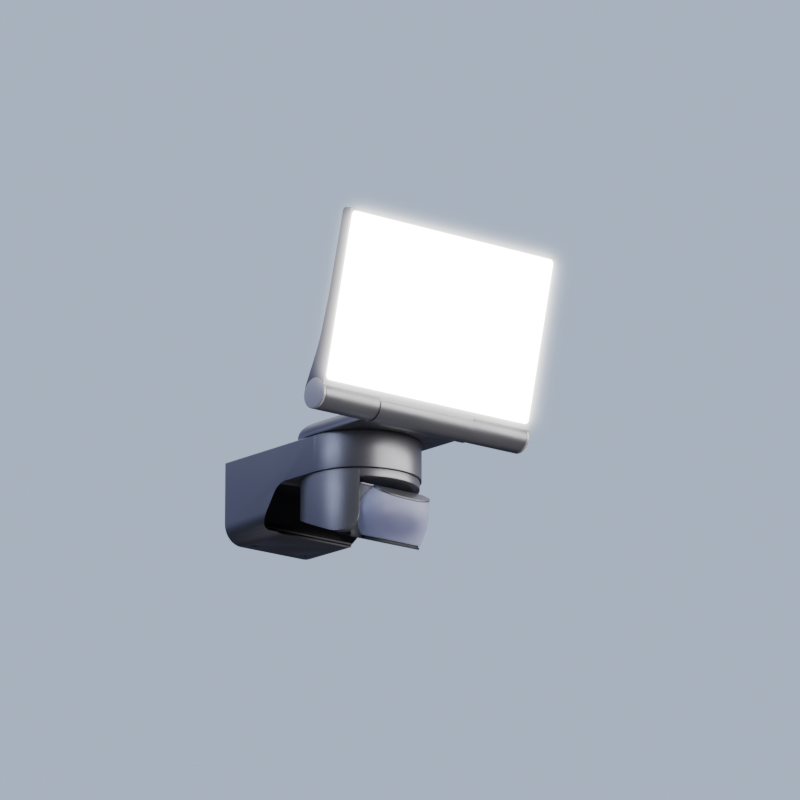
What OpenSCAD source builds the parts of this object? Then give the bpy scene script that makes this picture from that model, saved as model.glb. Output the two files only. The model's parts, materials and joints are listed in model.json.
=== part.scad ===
// Wall-mounted LED floodlight with a motion sensor.
// The wall is the plane y = 0 and the lamp stands out along -Y, with +Z up and +X to its right as seen
// from the wall. The origin is midway between the two wall screws, on the wall.

/* [Lamp head] */
// Width of the lamp head
head_w = 180; // [170:1:190]
// Height of the lit window
window_h = 113; // [105:1:118]
// Forward lean of the window from the vertical
face_lean = 14; // [8:1:16]
// Diameter of the barrels that the head turns on
barrel_d = 21; // [20.6:0.2:21.6]

/* [Bracket] */
// Distance from the wall to the swivel axis
arm_reach = 94; // [92:1:100]
// Radius of the arm's round end, which is also half the bracket's width
arm_r = 41.5; // [41:0.5:43]
// Thickness of the arm
arm_t = 25.5; // [25:0.5:27]
// Height of the base on the wall
base_h = 57; // [56:1:60]
// Radius of the base's two lower edges
base_fillet = 14; // [10:1:15]

/* [Neck] */
// Distance from the swivel axis forward to the hinge axis
hinge_reach = 60.5; // [60:0.5:64]
// Height of the hinge axis above the arm
hinge_rise = 8; // [7.6:0.2:8.6]
// Height of the neck above the arm
neck_h = 9.8; // [9.4:0.2:10.2]

/* [Motion sensor] */
// Radius of the sensor's round carrier
sensor_r = 40.2; // [40:0.1:40.8]
// Downward tilt of the sensor head
sensor_lean = 18; // [12:1:20]
// Half the height of the sensor head
eye_h = 18.4; // [17.6:0.2:18.4]

/* [Hidden] */
$fn = 96;
wall = 2.2;                  // thickness of the plastic shells
skin = 1.8;                  // thickness of the lamp head's thin back
gap = 0.3;                   // space between pieces that move past each other
run = 0.05;                  // radial clearance of a turning fit
arc_steps = 8;               // straight pieces in each rounded corner
lead_sides = 10;
far = 60;                    // beyond everything, for a cut that runs right through

// Heights and places that everything hangs on
top_z = base_h / 2;
arm_z = top_z - arm_t;
floor_z = top_z - base_h;
swivel_y = -arm_reach;
hinge_y = swivel_y - hinge_reach;
hinge_z = top_z + hinge_rise;

// The scooped front of the base
scoop_y = 57.5;              // where the front meets the arm
scoop_slope = 0.7;           // how far the front runs back for each step down
scoop_r = 15;
sensor_room = 12;            // depth of the round hollow that the front leaves for the sensor's carrier
lip_y = 46;                  // how far the lower lip stands out
lip_t = 1.2;
lip_rise = 3.6;              // height of the corner behind the lip
scoop_low_y = scoop_y - scoop_slope * (base_h - arm_t - lip_rise);

// Swivel bearings in the arm
column_r = 19;
bore_r = 16;
spigot_r = 14;
duct_r = 11.5;
bush_h = 7;
groove_r = 13.2;
clip_r = 15.5;
clip_t = 1.6;
lead_r = 2.4;
lead_z = (top_z + arm_z) / 2;

// Wall plate
screw_x = 30;                // half the distance between the wall screws
screw_r = 2.6;
plate_t = 3;
plate_in = wall + 0.2;       // how far the plate's edge lies inside the housing's
plate_rim = 1.6;             // thickness of the plate's rim and of the seal on it
rim_y = -10;                 // front of that rim
seal_t = 3;
entry_z = -14;               // height of the cable entry
entry_r = 4;
gland_r = 8;
ear_x = 22;                  // half the distance between the housing's two screws
ear_y = -8;

// Small screws, each as [core radius, head radius, head height, length, socket radius]
housing_screw = [1.3, 3, 1, 9, 1.4];
neck_screw = [1.25, 2.9, 1.2, 6, 1.2];
screw_play = 0.35;           // how much wider a screw's hole is than its core
head_play = 0.2;             // how much wider the recess is than its head

// Driver and mains connector
board_z = 16;                // height of the driver board
board_t = 1.6;
board_x = 33;                // half its width
board_y = [-44, -5];         // its front and back
capacitor_r = 5;
pole_x = [15, 21.5, 28];     // places of the three terminals
pole_y = -22.5;
pole_r = 1.9;
block_low = [11, -29, -22];
block_high = [32, -16, -9];

// Neck and hinge
neck_r = 42;
neck_edge = 5.5;             // radius of the neck's upper edge
neck_z = top_z + gap;
seam_z = neck_z + wall;
knuckle_w = 41.2;             // half the knuckle's width
sleeve_r = 11.2;
journal_r = 8.6;
journal_bore = 6.5;
lip_angle = 6;               // how far the knuckle's front edge stands above the hinge axis
sleeve_end = 70;             // how far its back edge stands above the hinge axis
pad_x = 30;                  // half the friction pad's length
pad_t = 0.9;
lean_most = 10;              // further forward lean that the hinge allows
lean_least = -40;            // backward turn that the hinge allows
neck_lead_r = 1.8;
neck_lead_z = seam_z + 2.4;

// Lamp head, in its own frame: the hinge axis along X through the origin, the window facing -Y
barrel_r = barrel_d / 2;
face_y = -8.5;
chin = 9.8;                  // from the hinge axis up to the window
rim = 1.6;
head_top = chin + window_h + rim;
top_depth = 8.3;             // thickness of the head at its top
mid_depth = 9;
mid_z = 66;
knee = [2.7, 34];            // where the back turns towards the barrels
knee_r = 120;
fillet_r = 5;                // between the barrels and the face
cap_t = 2.5;
cap_hold = 4;                // how far an end cap's spigot reaches into its barrel
head_x = head_w / 2;
diffuser_t = 2;
guide_in = 4;                // how far the light guide's edges lie inside the head's
guide_t = 3;
film_t = 0.4;
spreader_t = 1;
seal_z = 12.4;
strip_z = 13.6;
strip_t = 1;
led_count = 28;
head_lead_r = 1.2;
duct_x = 12;                  // the duct that takes the lead up to the light strip
duct_y = -3.9;
lead_play = 0.5;             // room round a lead in its duct
led_w = 3;
led_h = 1;
web_y = -2.6;                // back of the web between the head and its journal
seam_x = knuckle_w + gap;

// Motion sensor carrier
ring_h = 5.7;
carrier_z = arm_z - gap;
ring_z = carrier_z - ring_h;
cheek_x = -26;
cheek_r = 12;
cheek_slope = 0.385;
cheek_low = -45.2;           // height of the cheek's slanted edge under its front
cheek_back = 66;
slot_w = 1.2;                // half the width of the way that the sensor's lead takes

// Sensor head, in its own frame: the tilt axis along X through the origin, the lens facing -Y
tilt_y = swivel_y - 17;
tilt_z = ring_z - gap - eye_h - 0.3;
eye_left = cheek_x + 0.5;
eye_right = 31;
eye_round = [4.5, 3];        // radii of the right end's upper and lower edges
eye_front = -9.5;
lens_x = 5.5;                // middle of the lens
lens_a = 29.5;               // half its width at its middle height
lens_b = 19.6;               // how far it stands out
lens_trim = [0, 2.3];        // how much smaller it is on its left and on its right at its middle height
lens_pinch = [7.6, 1.7];     // how much smaller still at its top and bottom
lens_low = 2.5 - eye_h;
lens_mid = -0.25;            // height at which it is widest
lens_half = eye_h - 2.75;    // height above and below that over which the whole pinch comes in
lens_t = 1.6;
groove_h = 1;                // height of the groove between the lens and the base
groove_in = 1.2;             // its depth
foot_in = 0.4;               // how far the base's edge under it lies inside the lens's
brow_lean = 15;              // how steeply the housing's top comes down over the lens
brow_t = 1.1;                // thickness of that top
lens_high = eye_h - brow_t;  // top of the lens where it meets the housing's front
bezel_t = 0.9;               // thickness of the housing's front behind the lens's edge
opening = [-14.8, 29.5];     // left and right of the opening in that front
opening_high = eye_h - 3;
lens_power = 2.4;            // 2 is an ellipse, more is squarer
axle_r = 3.6;
axle_bore = 1.8;
axle_groove = 2.8;
bush_flange = 0.6;
washer_x = cheek_x - wall - bush_flange - 0.2;   // the washer's inner side
clip_x = washer_x - 0.5;
axle_x = clip_x - 1.3;       // outer end of the axle
dial_r = 4.6;
dial_x = 10;
dial_y = -2;
dial_t = 1.3;
spindle_r = 1.5;
spindle_h = 6;
pot_w = 8;                   // width of a potentiometer
pot_t = 3.2;

// ---- Outlines -------------------------------------------------------------------------------------

function unit(v) = v / norm(v);
function turned(v, a) = [v.x * cos(a) - v.y * sin(a), v.x * sin(a) + v.y * cos(a)];
function point(c) = [c[0], c[1]];

// The corner b between a and c, replaced by an arc of radius r
function corner(a, b, c, r) =
    r == 0 ? [b] :
    let (
        u = unit(a - b),
        w = unit(c - b),
        half = acos(u * w) / 2,
        centre = b + unit(u + w) * r / sin(half),
        start = b + u * r / tan(half) - centre,
        sweep = -sign(cross(u, w)) * (180 - 2 * half)
    )
    [for (i = [0 : arc_steps]) centre + turned(start, sweep * i / arc_steps)];

// A closed outline from corners written as [x, y, radius]
function rounded(path) =
    let (n = len(path))
    [for (i = [0 : n - 1])
        each corner(point(path[(i + n - 1) % n]), point(path[i]), point(path[(i + 1) % n]), path[i][2])];

// The angle at which a line from p touches the circle of radius r about the origin
function touch_angle(p, r) = atan2(p.y, p.x) - acos(r / norm(p));

// A rectangle from low to high with its corners rounded
function box_path(low, high, r) =
    [[low.x, low.y, r], [high.x, low.y, r], [high.x, high.y, r], [low.x, high.y, r]];

// A wedge about the origin between two angles, each counted up from the front (-X)
module wedge(r, from, to) {
    steps = 8;
    polygon(concat([[0, 0]], [for (i = [0 : steps])
        let (a = from + (to - from) * i / steps) [-r * cos(a), r * sin(a)]]));
}

// An outline drawn in Y and Z, stretched along X
module along_x(from, to) {
    translate([from, 0, 0]) rotate([90, 0, 90]) linear_extrude(to - from) children();
}

// An outline drawn in X and Z, stretched along Y
module along_y(from, to) {
    translate([0, to, 0]) rotate([90, 0, 0]) linear_extrude(to - from) children();
}

// A bar with square ends from low to high
module block(low, high) {
    translate(low) cube(high - low);
}

// A screw with its head at z = 0 and its core running up
module screw(size) {
    difference() {
        union() {
            cylinder(r = size[1], h = size[2]);
            cylinder(r = size[0], h = size[3]);
        }
        translate([0, 0, -0.1]) cylinder(r = size[4], h = size[2] - 0.2, $fn = 6);
    }
}

// The hole and the recess that a screw goes through, up to the height h
module screw_way(size, h) {
    translate([0, 0, -1]) {
        cylinder(r = size[0] + screw_play, h = h + 1);
        cylinder(r = size[1] + head_play, h = size[2] + 1);
    }
}

// A tube about an axis along Z
module tube(outer, inner, from, to) {
    translate([0, 0, from]) difference() {
        cylinder(r = outer, h = to - from);
        translate([0, 0, -1]) cylinder(r = inner, h = to - from + 2);
    }
}

// The point where a line from p along d meets the plane through q with the normal n
function onto(p, d, q, n) = p + d * ((q - p) * n) / (d * n);

// The unit directions of a route's stretches
function headings(route) = [for (i = [0 : len(route) - 2]) unit(route[i + 1] - route[i])];

// The plane that the ring at the route's point i lies in, halfway between the two stretches
function mitre(dirs, i) = unit(dirs[max(i - 1, 0)] + dirs[min(i, len(dirs) - 1)]);

// A flexible lead of radius r through the points of a route, mitred at each point
module lead(route, r) {
    dirs = headings(route);
    side = unit(cross(dirs[0], abs(dirs[0].x) < 0.7 ? [1, 0, 0] : [0, 0, 1]));
    up = cross(dirs[0], side);
    first = [for (k = [0 : lead_sides - 1])
        route[0] + r * (cos(360 * k / lead_sides) * side + sin(360 * k / lead_sides) * up)];
    stacked([for (i = 0, ring = first;
        i < len(route);
        ring = i < len(dirs) ? [for (p = ring) onto(p, dirs[i], route[i + 1], mitre(dirs, i + 1))] : ring,
        i = i + 1) ring]);
}

// A closed solid through rings of equal length, the lowest first
module stacked(rings) {
    n = len(rings[0]);
    m = len(rings);
    polyhedron(
        points = [for (ring = rings) each ring],
        faces = concat(
            [[for (i = [0 : n - 1]) i]],
            [for (k = [0 : m - 2], i = [0 : n - 1])
                let (j = (i + 1) % n) [k * n + i, (k + 1) * n + i, (k + 1) * n + j, k * n + j]],
            [[for (i = [n - 1 : -1 : 0]) (m - 1) * n + i]]));
}

// ---- Bracket --------------------------------------------------------------------------------------

module bracket_side(g) {
    front_y = -scoop_y + 0.52 * g;
    low_y = g == 0 ? -scoop_low_y : front_y + scoop_slope * (base_h - arm_t - 2 * g);
    lip = g == 0
        ? [[low_y, floor_z + lip_rise, 2.5], [-lip_y, floor_z + lip_t, 0], [-lip_y, floor_z, 0]]
        : [[low_y, floor_z + g, 0]];
    end_y = swivel_y - arm_r - 5;
    polygon(rounded(concat(
        [[1, floor_z + g, 0], [1, top_z - g, 0], [end_y, top_z - g, 0], [end_y, arm_z + g, 0],
         [front_y, arm_z + g, scoop_r]],
        lip)));
}

module bracket_front(g) {
    r = base_fillet - g;
    half = arm_r - g;
    polygon(rounded([
        [-half, floor_z + g, r], [half, floor_z + g, r],
        [half, top_z - g, 0.8], [-half, top_z - g, 0.8]]));
}

// The bracket's outer body, or its hollow when g is the wall's thickness
module bracket_body(g, back) {
    intersection() {
        union() {
            translate([0, swivel_y, floor_z]) cylinder(r = arm_r - g, h = base_h);
            block([g - arm_r, swivel_y, floor_z], [arm_r - g, back, top_z]);
        }
        along_x(-arm_r, arm_r) bracket_side(g);
        along_y(swivel_y - arm_r, back) bracket_front(g);
    }
}

module bracket_housing() {
    color([0.60, 0.61, 0.63]) difference() {
        union() {
            difference() {
                bracket_body(0, 0);
                bracket_body(wall, 1);
            }
            translate([0, swivel_y, arm_z]) cylinder(r = column_r, h = arm_t);
        }
        translate([0, swivel_y, arm_z - sensor_room]) cylinder(r = sensor_r + 0.5, h = sensor_room);
        translate([0, swivel_y, arm_z - 1]) cylinder(r = bore_r, h = arm_t + 2);
        block([-lead_r - 1, swivel_y, lead_z - lead_r - 0.8],
              [lead_r + 1, swivel_y + 25, lead_z + lead_r + 0.8]);
        for (x = [-ear_x, ear_x])
            translate([x, ear_y, floor_z]) screw_way(housing_screw, 8);
    }
}

module plate_outline(g) {
    polygon(rounded([
        [-arm_r + g, floor_z + g, base_fillet - g], [arm_r - g, floor_z + g, base_fillet - g],
        [arm_r - g, top_z - g, 2], [-arm_r + g, top_z - g, 2]]));
}

// The plate's rim, or the seal in front of it
module plate_edge(from, to) {
    along_y(from, to) difference() {
        plate_outline(plate_in);
        plate_outline(plate_in + plate_rim);
    }
}

module wall_plate() {
    ear_z = floor_z + plate_in;
    color([0.16, 0.16, 0.17]) difference() {
        union() {
            along_y(-plate_t, 0) plate_outline(plate_in);
            plate_edge(rim_y, -plate_t);
            // Two rails under the driver board
            for (x = [-board_x - 1, board_x - 2])
                block([x, board_y[0] + 2, board_z - 2], [x + 3, -plate_t, board_z]);
            // Two ears that the housing's screws go into
            for (x = [-ear_x, ear_x])
                block([x - 4, rim_y, ear_z + 0.2], [x + 4, -plate_t, ear_z + 8]);
            // A shelf under the mains connector
            block(block_low - [0, 0, 1.6], [block_high.x - 2, -plate_t, block_low.z]);
        }
        for (x = [-screw_x, screw_x])
            translate([x, 1, 0]) rotate([90, 0, 0]) cylinder(r = screw_r, h = plate_t + 2);
        translate([0, 1, entry_z]) rotate([90, 0, 0]) cylinder(r = gland_r, h = plate_t + 2);
        for (x = [-ear_x, ear_x])
            translate([x, ear_y, floor_z]) cylinder(r = housing_screw[0], h = housing_screw[3]);
    }
}

module housing_seal() {
    color([0.08, 0.08, 0.08]) plate_edge(rim_y - seal_t, rim_y);
}

module housing_screws() {
    color([0.75, 0.75, 0.76]) for (x = [-ear_x, ear_x])
        translate([x, ear_y, floor_z]) screw(housing_screw);
}

module cable_gland() {
    color([0.07, 0.07, 0.07]) translate([0, 0, entry_z]) rotate([90, 0, 0]) difference() {
        union() {
            translate([0, 0, 0.2]) cylinder(r = gland_r, h = plate_t + 0.2);
            translate([0, 0, plate_t]) cylinder(r = gland_r + 1.8, h = 2);
            translate([0, 0, plate_t + 2]) cylinder(r1 = gland_r, r2 = entry_r + 1.4, h = 5);
        }
        translate([0, 0, -1]) cylinder(r = entry_r, h = plate_t + 10);
    }
}

module terminal_block() {
    color([0.82, 0.82, 0.80]) difference() {
        block(block_low, block_high);
        for (x = pole_x) {
            translate([x, block_high.y + 1, block_low.z + 5]) rotate([90, 0, 0])
                cylinder(r = pole_r - 0.1, h = block_high.y - block_low.y + 2);
            translate([x, pole_y, block_high.z - 5]) cylinder(r = pole_r, h = 6);
        }
    }
}

module terminal_screws() {
    color([0.80, 0.72, 0.45]) for (x = pole_x)
        translate([x, pole_y, block_high.z - 5]) difference() {
            cylinder(r = pole_r, h = 3);
            block([-2, -0.3, 2.4], [2, 0.3, 4]);
        }
}

module driver_board() {
    color([0.10, 0.35, 0.20])
        block([-board_x, board_y[0], board_z], [board_x, board_y[1], board_z + board_t]);
}

module driver_transformer() {
    color([0.75, 0.62, 0.20]) union() {
        block([-10, -34, board_z - 12], [10, -16, board_z]);
        block([-12, -31, board_z - 9], [12, -19, board_z - 2]);
    }
}

module driver_capacitors() {
    color([0.15, 0.16, 0.20]) for (y = [-16, -29])
        translate([19, y, board_z - 13]) cylinder(r = capacitor_r, h = 13);
}

module driver_relay() {
    color([0.12, 0.25, 0.50]) block([-26, -34, board_z - 11], [-15, -15, board_z]);
}

// A plain bearing for a spigot, from its lower to its upper end
module swivel_bush(from, to) {
    color([0.88, 0.87, 0.82]) translate([0, swivel_y, 0]) tube(bore_r, spigot_r + run, from, to);
}

module neck_bush() {
    swivel_bush(top_z - bush_h, top_z);
}

module sensor_bush() {
    swivel_bush(arm_z, arm_z + bush_h);
}

module arm_lead() {
    color([0.09, 0.09, 0.10])
        lead([[0, -44.4, lead_z], [0, -60, lead_z], [0, swivel_y, lead_z]], lead_r);
}

// ---- Neck -----------------------------------------------------------------------------------------

// A spigot with a groove for its clip. It leaves z = 0 downwards.
module spigot(length) {
    groove = length - 3.4;
    translate([0, 0, -length]) difference() {
        union() {
            cylinder(r = spigot_r, h = 1.2);
            cylinder(r = groove_r, h = length - 1);
            translate([0, 0, length - groove]) cylinder(r = spigot_r, h = groove + 1);
        }
        translate([0, 0, -1]) cylinder(r = duct_r, h = length + 3);
    }
}

module clip_ring(from) {
    color([0.72, 0.73, 0.75]) translate([0, swivel_y, from]) difference() {
        tube(clip_r, groove_r, 0, clip_t);
        block([-3, -clip_r - 1, -1], [3, 0, clip_t + 1]);
    }
}

// The neck between two heights, with the inset g and its upper edge rounded where edge is over 0
module neck_solid(from, to, g, edge) {
    half = neck_r - g;
    section = rounded([[0, from, 0], [half, from, 0], [half, to, edge], [0, to, 0]]);
    translate([0, swivel_y, 0]) {
        rotate_extrude(angle = 180) polygon(section);
        for (m = [0, 1])
            mirror([m, 0, 0]) along_y(-hinge_reach, 0) polygon(section);
    }
}

// The knuckle's section about the hinge axis, open at its top for the head's web to swing in
module sleeve_section() {
    difference() {
        circle(r = sleeve_r);
        circle(r = journal_r + run);
        wedge(2 * sleeve_r, lip_angle, 180 - sleeve_end);
        for (a = [face_lean + lean_most, face_lean + lean_least])
            rotate(a) translate([face_y - gap, 0]) square([web_y - face_y + 2 * gap, 2 * sleeve_r]);
    }
}

module at_hinge() {
    translate([0, hinge_y, hinge_z]) children();
}

// The room for the head's barrels on either side of the knuckle
module barrel_room() {
    at_hinge() for (m = [0, 1])
        mirror([m, 0, 0]) along_x(knuckle_w, far) circle(r = barrel_r + gap);
}

module neck_base() {
    color([0.60, 0.61, 0.63]) difference() {
        union() {
            difference() {
                neck_solid(neck_z, seam_z, 0, 0);
                at_hinge() along_x(-far, far) circle(r = journal_r + run);
                at_hinge() block([-far, -3 * sleeve_r, -2 * sleeve_r], [far, -2, 2 * sleeve_r]);
                barrel_room();
            }
            at_hinge() along_x(-knuckle_w, knuckle_w) intersection() {
                sleeve_section();
                union() {
                    translate([-2 * sleeve_r, -2 * sleeve_r]) square([2 * sleeve_r, 4 * sleeve_r]);
                    translate([-1, -2 * sleeve_r]) square([4 * sleeve_r, 2 * sleeve_r + seam_z - hinge_z]);
                }
            }
            translate([0, swivel_y, neck_z]) spigot(neck_z - top_z + bush_h + 3.2);
        }
        translate([0, swivel_y, 0]) cylinder(r = duct_r, h = 2 * top_z);
        for (p = neck_screw_places)
            translate([p.x, p.y, neck_z]) screw_way(neck_screw, 4.9);
        at_hinge() along_x(-pad_x, pad_x) pad_section();
    }
}

neck_screw_places = [for (x = [-25, 25], y = [-24, 22]) [x, swivel_y + y]];

module neck_shell() {
    crown = top_z + neck_h;
    color([0.60, 0.61, 0.63]) difference() {
        union() {
            difference() {
                neck_solid(seam_z, crown, 0, neck_edge);
                difference() {
                    neck_solid(seam_z - 1, crown - wall, wall, neck_edge - wall);
                    at_hinge() block([-far, -20, -far], [far, sleeve_r + 1, far]);
                }
                at_hinge() along_x(-far, far) circle(r = journal_r + run);
                at_hinge() block([-far, -3 * sleeve_r, -2 * sleeve_r], [far, 2, 2 * sleeve_r]);
                barrel_room();
            }
            at_hinge() along_x(-knuckle_w, knuckle_w) intersection() {
                sleeve_section();
                translate([0, seam_z - hinge_z]) square(2 * sleeve_r);
            }
            for (p = neck_screw_places)
                translate([p.x, p.y, seam_z]) cylinder(r = 3.4, h = crown - wall - seam_z + 0.5);
        }
        for (p = neck_screw_places)
            translate([p.x, p.y, seam_z - 1]) cylinder(r = neck_screw[0], h = 5.5);
        block([-2.4, hinge_y, neck_lead_z - 2.1], [2.4, hinge_y + sleeve_r + 4, neck_lead_z + 2.1]);
    }
}

module neck_clip() {
    clip_ring(top_z - bush_h - gap - clip_t);
}

module neck_screws() {
    color([0.75, 0.75, 0.76]) for (p = neck_screw_places)
        translate([p.x, p.y, neck_z]) screw(neck_screw);
}

// The pad lies in the lower half of the knuckle, against the head's journal
module pad_section() {
    difference() {
        circle(r = journal_r + pad_t);
        circle(r = journal_r + run);
        wedge(2 * sleeve_r, -35, 220);
    }
}

module friction_pad() {
    color([0.30, 0.30, 0.31]) at_hinge() along_x(-pad_x, pad_x) pad_section();
}

module neck_lead() {
    color([0.09, 0.09, 0.10]) lead([
        [0, swivel_y, lead_z + lead_r + gap],
        [0, swivel_y, neck_lead_z],
        [0, hinge_y + 1.5, neck_lead_z]], neck_lead_r);
}

// ---- Lamp head ------------------------------------------------------------------------------------

module at_head() {
    at_hinge() rotate([face_lean, 0, 0]) children();
}

// Points along an arc, with sharp corners between them
function arc(centre, r, from, to, steps) = [for (i = [0 : steps])
    let (a = from + (to - from) * i / steps) [centre.x + r * cos(a), centre.y + r * sin(a), 0]];

// The head's section with the inset g: the face, a fillet, the barrel, and the back up to the top
module head_section(g) {
    fillet = [face_y - fillet_r, sqrt(pow(barrel_r + fillet_r, 2) - pow(face_y - fillet_r, 2))];
    join = atan2(fillet.y, fillet.x);
    polygon(rounded(concat(
        [[face_y + g, head_top - g, g == 0 ? 1 : 0.3]],
        arc(fillet, fillet_r + g, 0, join - 180, 4),
        arc([0, 0], barrel_r - g, join, 360 + touch_angle(knee - [g, 0], barrel_r - g), 56),
        [[knee.x - g, knee.y, knee_r],
         [face_y + mid_depth - g, mid_z, knee_r],
         [face_y + top_depth - g, head_top - g, g == 0 ? 2.5 : 0.8]])));
}

// A flat sheet in the head, from its front to its back, between two heights
module sheet(half, low, high, front, thick, r) {
    along_y(front, front + thick) polygon(rounded(box_path([-half, low], [half, high], r)));
}

// The pocket that the diffuser sits in, open to the front by the given depth
module window(depth) {
    sheet(head_x - rim, chin, head_top - rim, face_y - depth, depth + diffuser_t, 3);
}

module rear_housing() {
    cut_r = sleeve_r + gap;
    color([0.60, 0.61, 0.63]) at_head() difference() {
        union() {
            difference() {
                along_x(-head_x, head_x) head_section(0);
                along_x(skin - head_x, head_x - skin) head_section(skin);
            }
            for (s = [-1, 1])
                along_x(min(s * seam_x, s * (seam_x + skin)), max(s * seam_x, s * (seam_x + skin)))
                    intersection() {
                        head_section(0);
                        translate([-20, -20]) square([40, 20 + seal_z - 0.1]);
                    }
            along_x(-seam_x, seam_x) {
                intersection() {
                    head_section(0);
                    circle(r = cut_r + skin);
                }
            }
        }
        // Room for the knuckle, all but the journal and the web
        along_x(-seam_x, seam_x) difference() {
            circle(r = cut_r);
            circle(r = journal_r);
            translate([face_y, 0]) square([web_y - face_y, 2 * cut_r]);
        }
        along_x(-seam_x - skin - 1, seam_x + skin + 1) circle(r = journal_bore);
        // The way in for the lead, and its duct up to the light strip
        along_x(-3, 3) difference() {
            wedge(journal_r + 1, 145, 254);
            circle(r = journal_bore - 1);
        }
        translate([duct_x, duct_y, 0]) cylinder(r = head_lead_r + lead_play, h = strip_z);
        window(5);
        for (x = [-head_x - 1, head_x - cap_t])
            along_x(x, x + cap_t + 1) circle(r = barrel_r + 0.02);
    }
}

module diffuser() {
    color([0.97, 0.97, 0.95]) at_head()
        sheet(head_x - rim - 0.1, chin + 0.1, head_top - rim - 0.1, face_y, diffuser_t, 2.9);
}

module diffuser_seal() {
    front = face_y + diffuser_t;
    color([0.85, 0.85, 0.83]) at_head() difference() {
        sheet(head_x - skin - 0.2, seal_z, head_top - skin - 0.2, front, 1.2, 1);
        sheet(head_x - skin - 1.8, strip_z - 0.2, head_top - skin - 1.8, front - 1, 4, 0.6);
    }
}

module light_guide() {
    color([0.90, 0.94, 0.96, 0.7]) at_head()
        sheet(head_x - guide_in, strip_z + strip_t + led_h + 0.2, head_top - guide_in,
              face_y + diffuser_t, guide_t, 0.5);
}

module reflector_film() {
    color([0.96, 0.96, 0.96]) at_head()
        sheet(head_x - guide_in, strip_z + strip_t + led_h, head_top - guide_in,
              face_y + diffuser_t + guide_t, film_t, 0.5);
}

module heat_spreader() {
    front = face_y + diffuser_t + guide_t + film_t;
    color([0.80, 0.81, 0.82]) at_head()
        sheet(head_x - guide_in, strip_z + strip_t, head_top - guide_in, front, spreader_t, 0.5);
}

module led_strip() {
    color([0.92, 0.92, 0.90]) at_head()
        block([guide_in - head_x, face_y + diffuser_t + 0.2, strip_z],
              [head_x - guide_in, face_y + diffuser_t + guide_t + film_t + spreader_t, strip_z + strip_t]);
}

module leds() {
    pitch = (head_w - 20) / led_count;
    color([1, 0.95, 0.75]) at_head() for (i = [0 : led_count - 1])
        translate([(i - (led_count - 1) / 2) * pitch, face_y + diffuser_t + 0.8, strip_z + strip_t])
            block([-led_w / 2, 0, 0], [led_w / 2, 1.6, led_h]);
}

// A barrel's end cap, on the side s
module end_cap(s) {
    outer = s * head_x;
    inner = s * (head_x - cap_t);
    color([0.62, 0.63, 0.65]) at_head() union() {
        along_x(min(outer, inner), max(outer, inner)) circle(r = barrel_r);
        translate([inner, 0, 0]) rotate([0, -90 * s, 0])
            tube(barrel_r - skin - run, barrel_r - skin - 1.6, 0, cap_hold);
    }
}

module end_cap_left() {
    end_cap(-1);
}

module end_cap_right() {
    end_cap(1);
}

module head_lead() {
    color([0.09, 0.09, 0.10]) at_head()
        lead([[4.5, -0.5, 1], [duct_x, duct_y, 2.2], [duct_x, duct_y, strip_z]], head_lead_r);
}

// ---- Motion sensor: the part that swivels ----------------------------------------------------------

module at_swivel() {
    translate([0, swivel_y, 0]) children();
}

// The side of the ring and the carrier that the cheek stands in, above a height
module left_of_ring(low) {
    block([-far, swivel_y - far, low - 1], [cheek_x + 0.1, swivel_y + far, carrier_z + 1]);
}

module sensor_ring() {
    color([0.60, 0.61, 0.63]) difference() {
        at_swivel() tube(sensor_r, sensor_r - wall, ring_z, carrier_z);
        left_of_ring(ring_z);
    }
    color([0.60, 0.61, 0.63]) difference() {
        at_swivel() translate([0, 0, ring_z]) cylinder(r = sensor_r - wall, h = wall);
        left_of_ring(ring_z);
        at_swivel() translate([0, 0, ring_z - 1]) cylinder(r = sensor_r - 5, h = 1.6);
    }
}

module cheek_section(g) {
    front = swivel_y - sqrt(pow(sensor_r, 2) - pow(cheek_x, 2)) + g;
    polygon(rounded([
        [front, carrier_z - g, 0],
        [front, cheek_low + 1.4 * g, cheek_r - g],
        [-cheek_back - g, cheek_low + cheek_slope * (-cheek_back - front) + 1.07 * g, 6],
        [-cheek_back - g, carrier_z - g, 0]]));
}

module cheek_body(g) {
    intersection() {
        at_swivel() translate([0, 0, cheek_low - 5]) cylinder(r = sensor_r - g, h = carrier_z - cheek_low + 5);
        along_x(-sensor_r, cheek_x - g) cheek_section(g);
    }
}

module sensor_cheek() {
    color([0.60, 0.61, 0.63]) difference() {
        cheek_body(0);
        cheek_body(wall);
        translate([cheek_x - wall - 1, tilt_y, tilt_z]) rotate([0, 90, 0]) cylinder(r = axle_r + 1.6, h = wall + 2);
        translate([cheek_x - wall - 5, swivel_y, ring_z + wall + 1]) rotate([0, 90, 0]) cylinder(r = slot_w, h = 10);
    }
}

module sensor_carrier() {
    low = ring_z + wall;
    color([0.14, 0.14, 0.15]) difference() {
        union() {
            difference() {
                at_swivel() translate([0, 0, low]) cylinder(r = sensor_r - wall, h = carrier_z - low);
                left_of_ring(low);
            }
            at_swivel() translate([0, 0, carrier_z]) mirror([0, 0, 1])
                spigot(gap + bush_h + 3.2);
        }
        at_swivel() translate([0, 0, low + 2.1]) cylinder(r = duct_r, h = 20);
        at_swivel() block([-far, -slot_w, low - 1], [slot_w, slot_w, low + 2.2]);
    }
}

module carrier_clip() {
    clip_ring(arm_z + bush_h + gap);
}

module at_tilt() {
    translate([0, tilt_y, tilt_z]) children();
}

module tilt_bush() {
    color([0.88, 0.87, 0.82]) at_tilt() translate([cheek_x, 0, 0]) rotate([0, -90, 0]) union() {
        tube(axle_r + 1.6, axle_r + run, 0, wall);
        tube(axle_r + 2.8, axle_r + run, wall, wall + bush_flange);
    }
}

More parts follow.
